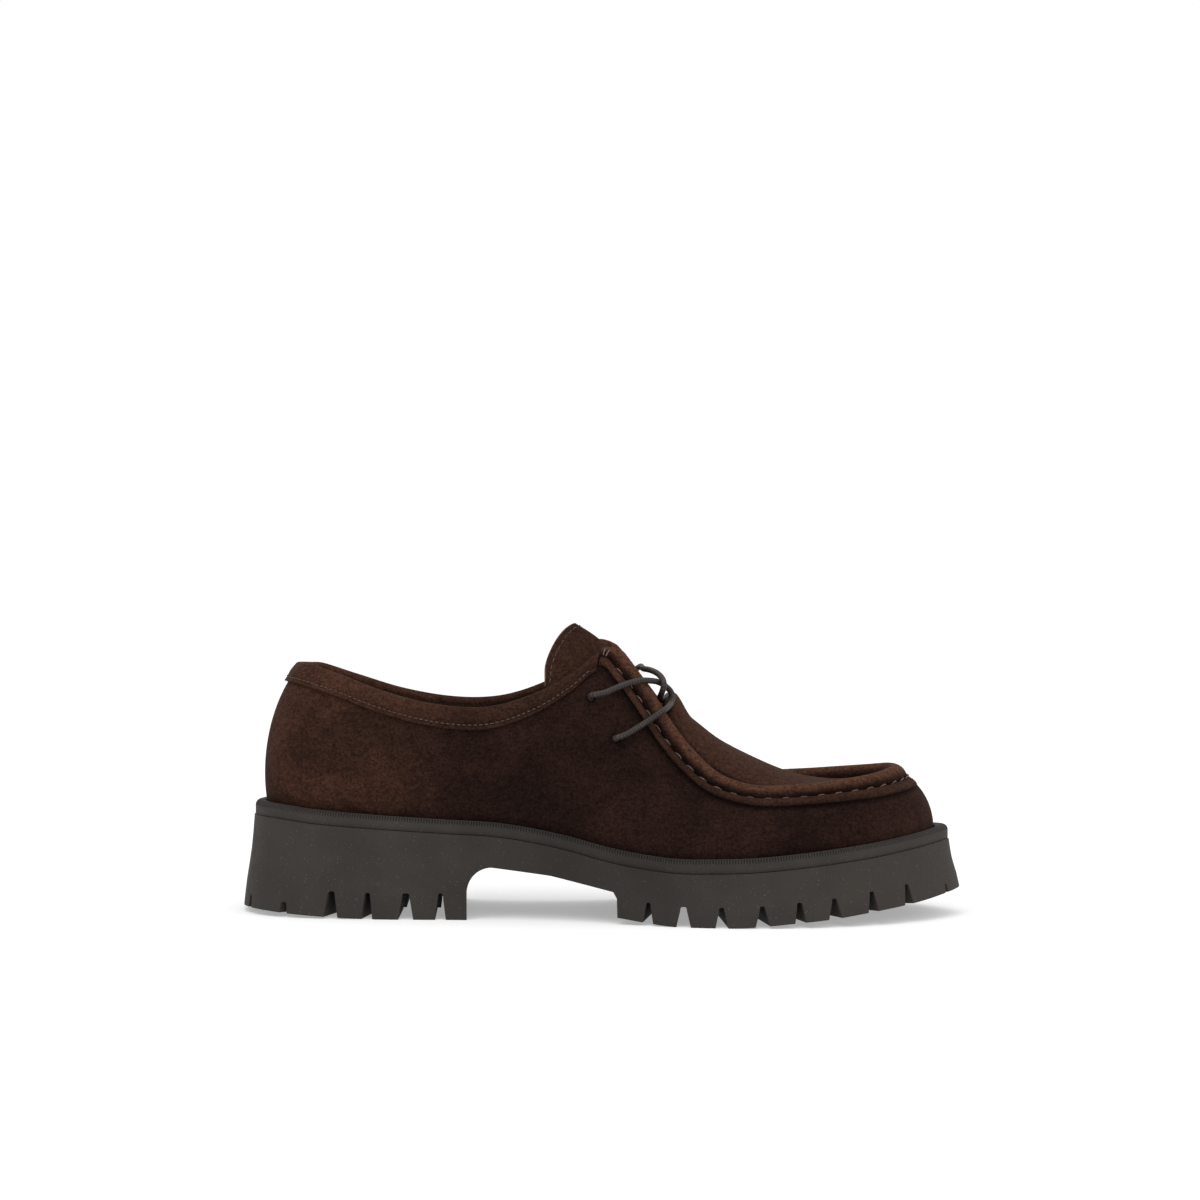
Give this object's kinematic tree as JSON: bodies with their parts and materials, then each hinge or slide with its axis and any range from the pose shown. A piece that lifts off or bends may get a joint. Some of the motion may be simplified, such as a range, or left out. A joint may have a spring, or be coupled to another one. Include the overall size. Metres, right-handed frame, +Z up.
{
  "type": "moc toe shoe",
  "caption": "Low right moc toe shoe in dark brown suede with a raised moc seam, a round lace and a lugged rubber sole.",
  "frame": {"origin": "on the floor, under the middle of the outsole's box", "axes": "+X points to the toe, +Y to the wearer's left, which is the inner side of the foot, +Z up"},
  "size_m": [0.2768, 0.1052, 0.111],
  "materials": {
    "rubber": "matte",
    "suede": "napped suede",
    "lining": "smooth",
    "waxed_cord": "waxed"
  },
  "bodies": {
    "root": {"outsole": "rubber", "rand": "rubber", "upper": "suede", "collar_binding": "suede", "tongue": "suede", "insole": "lining", "lace": "waxed_cord"}
  },
  "joints": []
}
